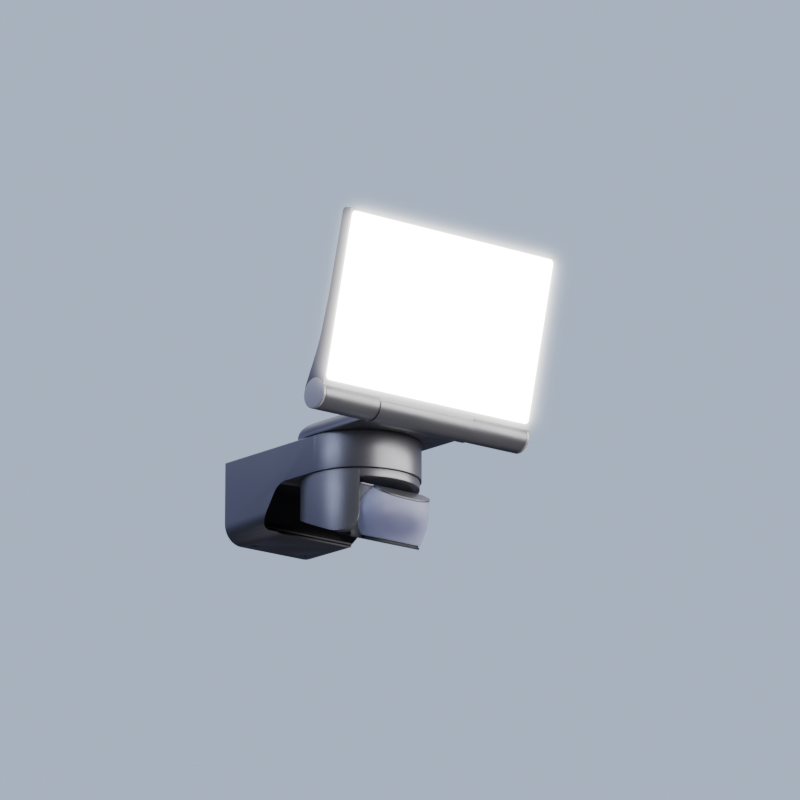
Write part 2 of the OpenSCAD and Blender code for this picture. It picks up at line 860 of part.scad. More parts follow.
module sensor_lead() {
    low = ring_z + wall;
    color([0.09, 0.09, 0.10]) lead([
        [0, swivel_y, lead_z - lead_r - gap], [0, swivel_y, low + 1],
        [-31, swivel_y, low + 1], [-32, swivel_y - 8, low - 8],
        [-32.6, tilt_y + 5, tilt_z + 5], [-32.6, tilt_y, tilt_z + 2.4], [axle_x - 0.3, tilt_y, tilt_z]], 1);
}

// ---- Motion sensor: the head that tilts ------------------------------------------------------------

module at_eye() {
    at_tilt() rotate([sensor_lean, 0, 0]) children();
}

// A point of the lens's outline in X and Y, a rounded bow, made smaller by less[0] on its left and less[1] on
// its right
function bow(less, t) =
    let (c = cos(t), e = 2 / lens_power, g = less[0] + (less[1] - less[0]) * (1 - c) / 2)
    [lens_x - (lens_a - g) * sign(c) * pow(abs(c), e), eye_front - (lens_b - g) * pow(abs(sin(t)), e)];

// How much smaller the lens is at the height z, on its left and on its right
function pinch(z) = lens_trim + lens_pinch * pow((z - lens_mid) / lens_half, 2);

// The height of the lens's top edge at the distance y, and a point of that edge, found from a first guess of
// its height
function brow_z(y) = lens_high - (eye_front - y) * tan(brow_lean);
function brow_point(g, t, z, tries) =
    let (p = bow(pinch(z) + [g, g], t))
    tries == 0 ? p : brow_point(g, t, brow_z(p.y), tries - 1);

// The outlines of the sensor head's top over the lens and of its base under it, with the inset g
lens_turn = [for (i = [0 : 32]) 180 * i / 32];
lens_lap = 0.2;              // how far they stand out past the lens
function brow_edge(g) = [for (t = lens_turn) brow_point(g - lens_lap, t, opening_high, 4)];
function base_edge(g) = [for (t = lens_turn) bow(pinch(lens_low) + [g - lens_lap, g - lens_lap], t)];

// Everything under the sloping top, drop below its surface
module under_brow(drop) {
    z = eye_h - drop;
    along_x(-far, far)
        polygon([[far, -far], [far, z], [eye_front, z], [-far, z - (eye_front + far) * tan(brow_lean)], [-far, -far]]);
}

module lens_solid(g, low, high) {
    rings = 10;
    stacked([for (k = [0 : rings])
        let (z = low + (high - low) * k / rings, edge = [for (t = lens_turn) bow(pinch(z) + [g, g], t)])
        concat([for (p = edge) [p.x, p.y, z]],
               [[edge[len(edge) - 1].x, eye_front + 3, z], [edge[0].x, eye_front + 3, z]])]);
}

module sensor_lens() {
    color([0.90, 0.90, 0.96]) at_eye() intersection() {
        difference() {
            lens_solid(0, lens_low, lens_high + 0.5);
            lens_solid(lens_t, lens_low - 1, lens_high + 1);
            block([-far, eye_front, -far], [far, far, far]);
        }
        under_brow(brow_t);
    }
}

module eye_section(g) {
    circle(r = eye_h - g);
    translate([-far, g - eye_h]) square([far, 2 * (eye_h - g)]);
}

// The sensor head's outer body, or its hollow when g is the wall's thickness, with the given edge at the lens
module eye_body(g, edge) {
    intersection() {
        along_x(eye_left + g, eye_right - g) eye_section(g);
        along_y(-far, far) polygon(rounded([
            [eye_left + g, g - eye_h, 0.3], [eye_right - g, g - eye_h, eye_round[1] - g],
            [eye_right - g, eye_h - g, eye_round[0] - g], [eye_left + g, eye_h - g, 0.3]]));
        translate([0, 0, -eye_h]) linear_extrude(2 * eye_h) {
            polygon(edge);
            translate([eye_left + g, eye_front - 0.5]) square([eye_right - eye_left - 2 * g, 40]);
        }
    }
}

// The space in front of the housing that the lens takes
module lens_room() {
    intersection() {
        block([-far, -far, lens_low], [far, eye_front, far]);
        under_brow(brow_t);
    }
}

module sensor_housing() {
    color([0.60, 0.61, 0.63]) at_eye() difference() {
        intersection() {
            eye_body(0, brow_edge(0));
            under_brow(0);
        }
        difference() {
            eye_body(2, brow_edge(2));
            block([-far, -far, -far], [far, eye_front, far]);
            difference() {
                block([-far, eye_front - 1, -far], [far, eye_front + bezel_t, far]);
                block([opening.x, eye_front - 2, -far], [opening.y, 0, opening_high]);
            }
        }
        lens_room();
        block([-far, -far, -far], [far, far, lens_low]);
        translate([eye_left - 1, 0, 0]) rotate([0, 90, 0]) cylinder(r = axle_r, h = 4);
    }
}

module sensor_base() {
    color([0.52, 0.53, 0.55]) at_eye() difference() {
        for (part = [[foot_in, -far, lens_low - groove_h], [groove_in, lens_low - groove_h, lens_low]])
            intersection() {
                eye_body(0, base_edge(part[0]));
                block([-far, -far, part[1]], [far, far, part[2]]);
            }
        for (x = [-dial_x, dial_x])
            translate([lens_x + x, dial_y, -eye_h - 1]) {
                cylinder(r = dial_r + 0.4, h = 1 + dial_t + 0.4);
                cylinder(r = spindle_r + run, h = 5);
            }
    }
}

module sensor_board() {
    color([0.10, 0.35, 0.20]) at_eye()
        block([lens_x - 21, eye_front + 1, -9], [lens_x + 21, eye_front + 2.4, 13]);
}

module infrared_detector() {
    color([0.78, 0.77, 0.72]) at_eye() translate([lens_x, eye_front + 1, 1]) rotate([90, 0, 0]) difference() {
        union() {
            cylinder(r = 4.6, h = 0.6);
            cylinder(r = 4.1, h = 4.2);
        }
        block([-2, -1.5, 3.9], [2, 1.5, 5]);
    }
}

module daylight_cell() {
    color([0.90, 0.85, 0.60]) at_eye() translate([lens_x + 15, eye_front + 1, 4]) rotate([90, 0, 0]) union() {
        cylinder(r = 2.5, h = 2.5);
        translate([0, 0, 2.5]) sphere(r = 2.4);
    }
}

module control_board() {
    color([0.10, 0.35, 0.20]) at_eye() difference() {
        block([lens_x - 18, dial_y - 5.4, lens_low + 4.6], [lens_x + 18, dial_y + 7, lens_low + 5.8]);
        for (x = [-dial_x, dial_x])
            translate([lens_x + x, dial_y, lens_low]) cylinder(r = 2, h = 8);
    }
}

module potentiometers() {
    color([0.20, 0.30, 0.60]) at_eye() for (x = [-dial_x, dial_x])
        translate([lens_x + x, dial_y, lens_low + 1.4]) difference() {
            block([-pot_w / 2, -pot_w / 2, 0], [pot_w / 2, pot_w / 2, pot_t]);
            translate([0, 0, -1]) cylinder(r = spindle_r + 0.4, h = 6);
        }
}

// A stretch of the tilt axis between two places along X, for something round about it
module on_axle(from, to) {
    at_eye() translate([to, 0, 0]) rotate([0, 90, 0]) linear_extrude(from - to) children();
}

module tilt_axle() {
    color([0.20, 0.20, 0.21]) difference() {
        union() {
            on_axle(eye_left + 3, eye_left + 2) circle(r = axle_r + 2);
            on_axle(eye_left + 2, axle_x) circle(r = axle_r);
        }
        on_axle(eye_left + 4, axle_x - 1) circle(r = axle_bore);
        on_axle(clip_x, clip_x - 0.8) difference() {
            circle(r = axle_r + 1);
            circle(r = axle_groove);
        }
    }
}

module tilt_clip() {
    color([0.72, 0.73, 0.75]) on_axle(clip_x, clip_x - 0.8) difference() {
        circle(r = axle_r + 1.4);
        circle(r = axle_groove);
        translate([0, -1.2]) square([10, 2.4]);
    }
}

module tilt_washer() {
    color([0.72, 0.73, 0.75]) on_axle(washer_x, clip_x) difference() {
        circle(r = axle_r + 1.4);
        circle(r = axle_r);
    }
}

// A setting dial in the sensor's underside, at the distance x from the middle
module dial(x) {
    color([0.80, 0.80, 0.78]) at_eye() translate([lens_x + x, dial_y, -eye_h]) difference() {
        union() {
            cylinder(r = dial_r, h = dial_t);
            cylinder(r = spindle_r, h = spindle_h);
        }
        block([1 - dial_r, -0.4, -0.1], [dial_r - 1, 0.4, 0.7]);
    }
}

module time_dial() {
    dial(-dial_x);
}

module twilight_dial() {
    dial(dial_x);
}

// ---- One part at a time ----------------------------------------------------------------------------

bracket_housing();
wall_plate();
housing_seal();
housing_screws();
cable_gland();
terminal_block();
terminal_screws();
driver_board();
driver_transformer();
driver_capacitors();
driver_relay();
neck_bush();
sensor_bush();
arm_lead();
neck_base();
neck_shell();
neck_clip();
neck_screws();
friction_pad();
neck_lead();
rear_housing();
diffuser();
diffuser_seal();
light_guide();
reflector_film();
heat_spreader();
led_strip();
leds();
end_cap_left();
end_cap_right();
head_lead();
sensor_ring();
sensor_cheek();
sensor_carrier();
carrier_clip();
tilt_bush();
sensor_lead();
sensor_housing();
sensor_base();
sensor_lens();
sensor_board();
infrared_detector();
daylight_cell();
control_board();
potentiometers();
tilt_axle();
tilt_clip();
tilt_washer();
time_dial();
twilight_dial();
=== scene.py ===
"""Looks of the wall-mounted sensor floodlight: its materials, its edges, its lens and its studio."""
import json
import math

import bpy
from mathutils import Matrix, Vector


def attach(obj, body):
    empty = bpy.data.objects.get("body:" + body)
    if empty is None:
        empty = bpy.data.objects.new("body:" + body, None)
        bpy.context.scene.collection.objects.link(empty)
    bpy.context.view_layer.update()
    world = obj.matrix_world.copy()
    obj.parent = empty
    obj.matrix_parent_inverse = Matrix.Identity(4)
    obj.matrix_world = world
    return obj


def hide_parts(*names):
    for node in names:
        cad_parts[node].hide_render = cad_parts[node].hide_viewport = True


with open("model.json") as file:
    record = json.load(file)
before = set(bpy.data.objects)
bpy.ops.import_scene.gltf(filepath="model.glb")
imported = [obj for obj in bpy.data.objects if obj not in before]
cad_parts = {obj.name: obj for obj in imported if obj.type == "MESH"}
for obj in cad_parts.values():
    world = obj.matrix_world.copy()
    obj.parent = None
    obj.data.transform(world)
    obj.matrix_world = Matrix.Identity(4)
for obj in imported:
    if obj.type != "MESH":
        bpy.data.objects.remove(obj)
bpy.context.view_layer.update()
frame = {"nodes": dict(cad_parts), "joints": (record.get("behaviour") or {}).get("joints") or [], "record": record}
MM = 0.001

# ---- Camera ---------------------------------------------------------------------------------------

CAMERA_AIM = Vector((0.0204, -0.1115, 0.0604))
CAMERA_AZIMUTH, CAMERA_ELEVATION = math.radians(-40.1), math.radians(-15.51)
CAMERA_DISTANCE = 3.8578
CAMERA_LENS, CAMERA_SENSOR = 256.8, 36
CAMERA_NEAR, CAMERA_FAR = 0.05, 200


def make_camera():
    level = math.cos(CAMERA_ELEVATION)
    back = Vector((
        math.sin(CAMERA_AZIMUTH) * level,
        -math.cos(CAMERA_AZIMUTH) * level,
        math.sin(CAMERA_ELEVATION),
    ))
    data = bpy.data.cameras.new("camera")
    data.sensor_width = CAMERA_SENSOR
    data.lens = CAMERA_LENS
    data.clip_start, data.clip_end = CAMERA_NEAR, CAMERA_FAR
    camera = bpy.data.objects.new("camera", data)
    camera.location = CAMERA_AIM + back * CAMERA_DISTANCE
    camera.rotation_mode = "QUATERNION"
    camera.rotation_quaternion = (-back).to_track_quat("-Z", "Y")
    bpy.context.scene.collection.objects.link(camera)
    bpy.context.scene.camera = camera


# ---- Where the sensor head is ---------------------------------------------------------------------

joints = {j["name"]: j for j in frame["joints"]}
tilt = Vector(joints["sensor_tilt"]["pos_m"])
# The setting dials are upright in the sensor head, so their axis says how far it leans
eye_axis = Vector(joints["time_setting"]["axis"])
eye_lean = math.atan2(-eye_axis.y, eye_axis.z)
eye_place = Matrix.Translation((0, tilt.y, tilt.z)) @ Matrix.Rotation(eye_lean, 4, "X")

# ---- Materials ------------------------------------------------------------------------------------


class Shader:
    """A material's node tree with its Principled BSDF."""

    def __init__(self, name, colour, roughness, **sockets):
        self.material = bpy.data.materials.new(name)
        self.material.use_nodes = True
        self.tree = self.material.node_tree
        self.bsdf = self.tree.nodes["Principled BSDF"]
        self.set("Base Color", (*colour, 1))
        self.set("Roughness", roughness)
        for socket, value in sockets.items():
            self.set(socket.replace("_", " "), value)
        self.normal = None

    def set(self, socket, value):
        self.bsdf.inputs[socket].default_value = value

    def node(self, kind, **inputs):
        made = self.tree.nodes.new(kind)
        for socket, value in inputs.items():
            self.feed(made.inputs[socket], value)
        return made

    def feed(self, socket, value):
        if isinstance(value, bpy.types.NodeSocket):
            self.tree.links.new(value, socket)
        else:
            socket.default_value = value

    def place(self, stretch=(1, 1, 1)):
        """The point on the piece, in metres, as it is at rest."""
        coordinates = self.node("ShaderNodeTexCoord")
        mapping = self.node("ShaderNodeMapping", Vector=coordinates.outputs["Object"])
        mapping.inputs["Scale"].default_value = stretch
        return mapping.outputs["Vector"]

    def noise(self, size, detail, stretch=(1, 1, 1)):
        """Noise whose features are about size millimetres across."""
        made = self.node("ShaderNodeTexNoise", Vector=self.place(stretch), Detail=detail)
        made.inputs["Scale"].default_value = 1 / (size * MM)
        return made.outputs["Fac"]

    def grain(self, size):
        """Small cells, each about size millimetres across."""
        made = self.node("ShaderNodeTexVoronoi", Vector=self.place(), Scale=1 / (size * MM))
        return made.outputs["Distance"]

    def ramp(self, value, start, end, low=0.0, high=1.0):
        """Goes from low to high as the value goes from start to end."""
        made = self.node("ShaderNodeMapRange", Value=value)
        made.inputs["From Min"].default_value = start
        made.inputs["From Max"].default_value = end
        made.inputs["To Min"].default_value = low
        made.inputs["To Max"].default_value = high
        return made.outputs["Result"]

    def between(self, noise, low, high):
        """Spreads a noise, which seldom leaves its middle range, from low to high."""
        return self.ramp(noise, 0.3, 0.7, low, high)

    def times(self, first, second):
        made = self.node("ShaderNodeMath")
        made.operation = "MULTIPLY"
        self.feed(made.inputs[0], first)
        self.feed(made.inputs[1], second)
        return made.outputs["Value"]

    def blend(self, factor, first, second):
        """Goes from the first colour to the second one as the factor goes from 0 to 1."""
        made = self.node("ShaderNodeMix")
        made.data_type = "RGBA"
        self.feed(made.inputs["Factor"], factor)
        for socket, colour in (("A", first), ("B", second)):
            linked = isinstance(colour, bpy.types.NodeSocket)
            self.feed(made.inputs[socket], colour if linked else (*colour, 1))
        return made.outputs["Result"]

    def bump(self, height, depth):
        """Raises the surface by up to depth millimetres, on top of any bump before it."""
        made = self.node("ShaderNodeBump", Height=height, Distance=depth * MM, Strength=1.0)
        if self.normal is not None:
            self.feed(made.inputs["Normal"], self.normal)
        self.normal = made.outputs["Normal"]
        self.feed(self.bsdf.inputs["Normal"], self.normal)

    def colour(self, value):
        self.feed(self.bsdf.inputs["Base Color"], value)

    def roughness(self, noise, low, high):
        self.feed(self.bsdf.inputs["Roughness"], self.between(noise, low, high))


SILVER_DARK, SILVER_LIGHT, SILVER_METAL = (0.32, 0.32, 0.335), (0.42, 0.42, 0.435), 0.72

# The painted shade on the scooped front under the arm: its colour, the band of forward normals that it starts in,
# and the band of heights, in metres, that it starts below
SCOOP_PAINTED_SHADE = (0.014, 0.014, 0.016)
SCOOP_FACING = (-0.30, -0.42)
SCOOP_TOP = (0.0036, 0.0030)


def scoop_shade(made):
    """Where the painted shade goes: 1 on the scooped front, which faces forward under the arm, and 0 on the rest
    of the shell.
    """
    coordinates = made.node("ShaderNodeTexCoord")
    facing = made.node("ShaderNodeSeparateXYZ", Vector=coordinates.outputs["Normal"])
    point = made.node("ShaderNodeSeparateXYZ", Vector=coordinates.outputs["Object"])
    forward = made.ramp(facing.outputs["Y"], *SCOOP_FACING)
    below = made.ramp(point.outputs["Z"], *SCOOP_TOP)
    return made.times(forward, below)


def lacquer(name, dark, light, metallic, scooped=False):
    """Satin metallic lacquer over moulded plastic, with fine flakes, orange peel and handling marks; when scooped,
    it also paints shade near-black on the scooped front.
    """
    made = Shader(name, light, 0.36, Metallic=metallic, Coat_Weight=0.12, Coat_Roughness=0.32)
    flakes = made.noise(0.25, 2)
    silver = made.blend(made.between(flakes, 0.15, 0.85), dark, light)
    # Painted shade: the scooped front is painted near-black in place of the shade that falls there
    made.colour(made.blend(scoop_shade(made), silver, SCOOP_PAINTED_SHADE) if scooped else silver)
    made.roughness(made.noise(28, 3), 0.34, 0.42)
    made.bump(made.noise(0.9, 2), 0.012)
    made.bump(flakes, 0.003)
    return made.material


def moulded(name, dark, light, roughness):
    """Spark-eroded moulding texture: a fine grain with slow colour variation."""
    made = Shader(name, light, roughness, Specular_IOR_Level=0.42)
    made.colour(made.blend(made.noise(14, 4), dark, light))
    made.roughness(made.noise(9, 3), roughness - 0.05, roughness + 0.07)
    made.bump(made.grain(0.35), 0.02)
    return made.material


def rubber(name, dark, light):
    """Dull and slightly dusty."""
    made = Shader(name, light, 0.7, Specular_IOR_Level=0.35, Sheen_Weight=0.12, Sheen_Roughness=0.5)
    made.colour(made.blend(made.noise(6, 5), dark, light))
    made.bump(made.noise(0.3, 4), 0.02)
    return made.material


def steel(name, dark, light, roughness, stretch):
    """Bare metal with lines drawn out along the stretched axis."""
    made = Shader(name, light, roughness, Metallic=1.0)
    lines = made.noise(0.6, 4, stretch)
    made.colour(made.blend(made.between(lines, 0.0, 1.0), dark, light))
    made.roughness(lines, roughness - 0.07, roughness + 0.1)
    made.bump(lines, 0.006)
    return made.material


def glossy(name, dark, light, roughness):
    """Smooth plastic, tape or film, a little uneven."""
    made = Shader(name, light, roughness)
    made.colour(made.blend(made.noise(5, 3), dark, light))
    made.roughness(made.noise(3, 3), roughness, roughness + 0.08)
    made.bump(made.noise(1.5, 2), 0.01)
    return made.material


def circuit_board():
    """Green solder mask with copper tracks that show through as slightly raised lines."""
    made = Shader("circuit_board", (0.03, 0.16, 0.07), 0.32, Coat_Weight=0.4, Coat_Roughness=0.2)
    cells = made.node("ShaderNodeTexVoronoi", Vector=made.place(), Scale=1 / (3 * MM))
    cells.feature = "DISTANCE_TO_EDGE"
    tracks = made.between(cells.outputs["Distance"], 1.0, 0.0)
    made.colour(made.blend(tracks, (0.02, 0.12, 0.05), (0.07, 0.26, 0.12)))
    made.bump(tracks, 0.03)
    return made.material


def lit_diffuser():
    """Opal sheet in front of the light guide: it glows evenly, a little warmer in places."""
    made = Shader(
        "lit_diffuser", (0.93, 0.93, 0.91), 0.38, Subsurface_Weight=0.15, Emission_Strength=14.0,
        Emission_Color=(1.0, 0.985, 0.96, 1))
    haze = made.between(made.noise(35, 2), 0.0, 1.0)
    warm, white = (1.0, 0.975, 0.94), (1.0, 0.992, 0.975)
    made.feed(made.bsdf.inputs["Emission Color"], made.blend(haze, warm, white))
    made.bump(made.grain(0.4), 0.008)
    return made.material


# The hollow behind the lens, whose shade is painted into the lens's colour, in millimetres from the sensor head's
# axle: its middle, and its half sizes
HOLLOW_SHADE_MIDDLE, HOLLOW_SHADE_SIZE = (-1, -20, -3), (34, 1000, 18.5)


def milky_lens():
    """Milky polyethylene: translucent and waxy, with painted shade where the hollow behind it shows through and a
    faint painted glow.
    """
    made = Shader(
        "milky_lens", (0.66, 0.67, 0.80), 0.4, Subsurface_Weight=0.35, Subsurface_Scale=0.8,
        Coat_Weight=0.12, Coat_Roughness=0.3, Specular_IOR_Level=0.4)
    made.set("Subsurface Radius", (0.004, 0.004, 0.005))
    # A faint painted glow, in place of the light that the wax scatters from all round, also into its shaded side
    made.set("Emission Color", (0.50, 0.58, 1.0, 1))
    made.set("Emission Strength", 0.085)
    # Painted shade: the colour darkens towards the middle of the hollow behind the lens
    hollow = made.node("ShaderNodeMapping", Vector=made.node("ShaderNodeTexCoord").outputs["Object"])
    hollow.vector_type = "TEXTURE"
    hollow.inputs["Location"].default_value = eye_place @ (Vector(HOLLOW_SHADE_MIDDLE) * MM)
    hollow.inputs["Rotation"].default_value = (eye_lean, 0, 0)
    hollow.inputs["Scale"].default_value = Vector(HOLLOW_SHADE_SIZE) * MM
    painted_shade_ball = made.node("ShaderNodeTexGradient", Vector=hollow.outputs["Vector"])
    painted_shade_ball.gradient_type = "SPHERICAL"
    depth = made.node("ShaderNodeMapRange", Value=painted_shade_ball.outputs["Fac"])
    depth.interpolation_type = "SMOOTHSTEP"
    depth.inputs["From Max"].default_value = 0.75
    clouds = made.blend(made.between(made.noise(9, 3), 0.2, 0.8), (0.60, 0.64, 0.90), (0.66, 0.70, 0.95))
    # The dark colour here is painted shade, not the wax's own colour
    made.colour(made.blend(depth.outputs["Result"], clouds, (0.24, 0.24, 0.40)))
    made.roughness(made.noise(4, 2), 0.36, 0.44)
    made.bump(made.noise(1.2, 2), 0.006)
    return made.material


def clear(name, tint, roughness):
    """Clear acrylic or epoxy with a fine prism grain."""
    made = Shader(name, tint, roughness, Transmission_Weight=0.85, IOR=1.49)
    made.colour(made.blend(made.noise(7, 2), [c * 0.96 for c in tint], tint))
    made.bump(made.grain(1.1), 0.015)
    return made.material


def led_chip():
    """Yellow phosphor under a clear drop, lit."""
    made = Shader(
        "led_chip", (0.95, 0.8, 0.35), 0.3, Coat_Weight=0.6, Emission_Strength=3.0,
        Emission_Color=(1.0, 0.93, 0.78, 1))
    made.colour(made.blend(made.noise(0.5, 2), (0.9, 0.7, 0.25), (0.97, 0.86, 0.45)))
    made.bump(made.noise(0.6, 2), 0.01)
    return made.material


# How the lines in bare metal are drawn out
ALONG_X, ALONG_Z = (0.05, 1, 1), (1, 1, 0.05)


def make_materials():
    """A material for each slot that the record names."""
    return {
        "silver_shell": lacquer("silver_shell", SILVER_DARK, SILVER_LIGHT, SILVER_METAL),
        "silver_cap": lacquer("silver_cap", (0.80, 0.79, 0.78), (0.90, 0.89, 0.88), 0.35),
        "grey_base": moulded("grey_base", (0.045, 0.048, 0.058), (0.07, 0.074, 0.085), 0.48),
        "dark_plastic": moulded("dark_plastic", (0.012, 0.012, 0.014), (0.022, 0.022, 0.025), 0.5),
        "black_rubber": rubber("black_rubber", (0.010, 0.010, 0.011), (0.022, 0.022, 0.024)),
        "lead_jacket": rubber("lead_jacket", (0.012, 0.012, 0.013), (0.026, 0.026, 0.028)),
        "lit_diffuser": lit_diffuser(),
        "white_seal": rubber("white_seal", (0.66, 0.66, 0.64), (0.78, 0.78, 0.76)),
        "clear_guide": clear("clear_guide", (0.95, 0.97, 0.98), 0.08),
        "white_film": glossy("white_film", (0.84, 0.84, 0.84), (0.92, 0.92, 0.92), 0.25),
        "bare_aluminium": steel("bare_aluminium", (0.68, 0.69, 0.70), (0.82, 0.83, 0.84), 0.36, ALONG_X),
        "white_board": glossy("white_board", (0.78, 0.78, 0.76), (0.88, 0.88, 0.86), 0.3),
        "led_chip": led_chip(),
        "circuit_board": circuit_board(),
        "transformer_tape": glossy("transformer_tape", (0.52, 0.36, 0.05), (0.68, 0.50, 0.10), 0.28),
        "capacitor_sleeve": glossy("capacitor_sleeve", (0.03, 0.035, 0.06), (0.06, 0.07, 0.11), 0.3),
        "relay_case": glossy("relay_case", (0.03, 0.09, 0.28), (0.06, 0.14, 0.36), 0.25),
        "terminal_plastic": glossy("terminal_plastic", (0.66, 0.66, 0.63), (0.76, 0.76, 0.73), 0.35),
        "brass_screw": steel("brass_screw", (0.60, 0.44, 0.17), (0.80, 0.62, 0.28), 0.3, ALONG_Z),
        "steel_screw": steel("steel_screw", (0.50, 0.51, 0.52), (0.68, 0.69, 0.70), 0.3, ALONG_Z),
        "spring_steel": steel("spring_steel", (0.32, 0.33, 0.35), (0.48, 0.49, 0.51), 0.32, ALONG_X),
        "acetal_bush": moulded("acetal_bush", (0.70, 0.69, 0.63), (0.80, 0.79, 0.74), 0.42),
        "milky_lens": milky_lens(),
        "detector_can": steel("detector_can", (0.55, 0.54, 0.48), (0.72, 0.71, 0.66), 0.25, ALONG_X),
        "clear_epoxy": clear("clear_epoxy", (0.95, 0.92, 0.78), 0.05),
        "potentiometer_case": glossy("potentiometer_case", (0.04, 0.11, 0.32), (0.08, 0.17, 0.42), 0.3),
        "dial_plastic": moulded("dial_plastic", (0.58, 0.58, 0.56), (0.70, 0.70, 0.68), 0.45),
    }


def dress(piece, material):
    piece.data.materials.clear()
    piece.data.materials.append(material)


def dress_parts():
    """Gives every CAD node its slot's material. The bracket's silver also has painted shade on its scooped front.
    """
    for entry in frame["record"]["subparts"]:
        dress(frame["nodes"][entry["node"]], materials[entry["material_slot"]])
    # The bracket's own lacquer, with the painted shade on its scooped front
    bracket = lacquer("bracket_shell_painted_shade", SILVER_DARK, SILVER_LIGHT, SILVER_METAL, scooped=True)
    dress(frame["nodes"]["bracket_housing"], bracket)


# ---- Edges ----------------------------------------------------------------------------------------


SMOOTH_BELOW = math.radians(32)


def smooth_by_angle():
    """A modifier's node group that shades a mesh smooth, apart from its edges past SMOOTH_BELOW."""
    tree = bpy.data.node_groups.new("smooth_by_angle", "GeometryNodeTree")
    tree.interface.new_socket("Geometry", in_out="INPUT", socket_type="NodeSocketGeometry")
    tree.interface.new_socket("Geometry", in_out="OUTPUT", socket_type="NodeSocketGeometry")
    start, end = tree.nodes.new("NodeGroupInput"), tree.nodes.new("NodeGroupOutput")
    angle = tree.nodes.new("GeometryNodeInputMeshEdgeAngle")
    gentle = tree.nodes.new("FunctionNodeCompare")
    gentle.data_type, gentle.operation = "FLOAT", "LESS_THAN"
    gentle.inputs[1].default_value = SMOOTH_BELOW
    edges = tree.nodes.new("GeometryNodeSetShadeSmooth")
    edges.domain = "EDGE"
    faces = tree.nodes.new("GeometryNodeSetShadeSmooth")
    tree.links.new(angle.outputs["Unsigned Angle"], gentle.inputs[0])
    tree.links.new(start.outputs["Geometry"], edges.inputs["Geometry"])
    tree.links.new(gentle.outputs["Result"], edges.inputs["Shade Smooth"])
    tree.links.new(edges.outputs["Geometry"], faces.inputs["Geometry"])
    tree.links.new(faces.outputs["Geometry"], end.inputs["Geometry"])
    return tree


smooth_group = smooth_by_angle()


def add_smooth(piece):
    piece.modifiers.new("smooth", "NODES").node_group = smooth_group


def clear_custom_normals(piece):
    bpy.context.view_layer.objects.active = piece
    bpy.ops.mesh.customdata_custom_splitnormals_clear()


# The rounding that each outer piece's edges ask for, in millimetres. The bevel's clamp cuts it down to fit the
# piece's shortest edges: the diffuser gets all of it, the sensor ring and the end caps get most of it, and the
# others get about 0.05 mm or less, so that their edges stay nearly crisp.
EDGE_WIDTHS = {
    "bracket_housing": 0.5,
    "wall_plate": 0.4,
    "neck_base": 0.35,
    "neck_shell": 0.4,
    "rear_housing": 0.35,
    "diffuser": 0.2,
    "end_cap_left": 1.3,
    "end_cap_right": 1.3,
    "sensor_ring": 0.4,
    "sensor_cheek": 0.5,
    "sensor_carrier": 0.3,
    "sensor_housing": 0.25,
    "sensor_base": 0.5,
}
# Points within WELD millimetres become one, faces that turn by less than FLAT become one, and edges that turn
# by more than CRISP are rounded in EDGE_STEPS steps
WELD, FLAT, CRISP, EDGE_STEPS = 0.002, math.radians(0.25), math.radians(34), 3


def soften(node, width):
    """Rounds a CAD node's crisp edges with modifiers, as far as the clamp on overlaps lets them."""
    piece = frame["nodes"][node]
    clear_custom_normals(piece)
    weld = piece.modifiers.new("weld", "WELD")
    weld.merge_threshold = WELD * MM
    flat = piece.modifiers.new("flat", "DECIMATE")
    flat.decimate_type = "DISSOLVE"
    flat.angle_limit = FLAT
    bevel = piece.modifiers.new("bevel", "BEVEL")
    bevel.width = width * MM
    bevel.segments = EDGE_STEPS
    bevel.limit_method = "ANGLE"
    bevel.angle_limit = CRISP
    bevel.miter_outer = "MITER_ARC"
    bevel.use_clamp_overlap = True
    add_smooth(piece)


# ---- Pieces made here -----------------------------------------------------------------------------


def new_piece(name, verts, faces, body, slot, replaced):
    """A mesh that rides on a body and is drawn in place of the CAD nodes it replaces."""
    mesh = bpy.data.meshes.new(name)
    mesh.from_pydata([tuple(v) for v in verts], [], faces)
    mesh.validate()
    mesh.update()
    piece = bpy.data.objects.new(name, mesh)
    bpy.context.scene.collection.objects.link(piece)
    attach(piece, body)
    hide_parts(*replaced)
    dress(piece, materials[slot])
    return piece


# The lens, in millimetres from the sensor head's axle: its middle, half its width, how far it stands out and
# from where, and its foot and its top, which slopes down to the front
LENS_MIDDLE, LENS_HALF, LENS_DEPTH, LENS_FRONT = 5.5, 29.5, 19.6, -9.5
LENS_LOW, LENS_HIGH, LENS_SLOPE = -15.9, 17.3, math.radians(15)
LENS_WALL, LENS_EDGE, LENS_POWER = 1.6, 0.5, 2.4
# How much smaller it is on its left and on its right, at its middle height and, added to that, at its ends
LENS_TRIM, LENS_PINCH = (0.0, 2.3), (7.6, 1.7)
PINCH_MIDDLE, PINCH_HALF = -0.25, 15.65
LENS_STEPS, LENS_LEVELS, LENS_TURN = 112, 44, 4


def lens_outline(t, z, inward):
    """The point at the angle t of the lens's outline at the height z, moved inward by a distance."""
    bow = ((z - PINCH_MIDDLE) / PINCH_HALF) ** 2
    left, right = (trim + pinch * bow for trim, pinch in zip(LENS_TRIM, LENS_PINCH))
    c, s = math.cos(t), math.sin(t)
    less = inward + left + (right - left) * (1 - c) / 2
    bend = 2 / LENS_POWER
    x = LENS_MIDDLE - (LENS_HALF - less) * math.copysign(abs(c) ** bend, c)
    return x, LENS_FRONT - (LENS_DEPTH - less) * abs(s) ** bend


def lens_ring(share, lower, inward):
    """One level of the lens at a share of its height there, lower by a distance and moved inward."""
    ring = []
    for i in range(LENS_STEPS + 1):
        t = math.pi * i / LENS_STEPS
        z = LENS_LOW + (LENS_HIGH - LENS_LOW) * share
        # The height hangs on how far out the point is, and that on the height: a few rounds settle both
        for _ in range(6):
            x, y = lens_outline(t, z, inward)
            top = LENS_HIGH - (LENS_FRONT - y) * math.tan(LENS_SLOPE)
            z = LENS_LOW + (top - LENS_LOW) * share - lower
        ring.append(eye_place @ (Vector((x, y, z)) * MM))
    return ring


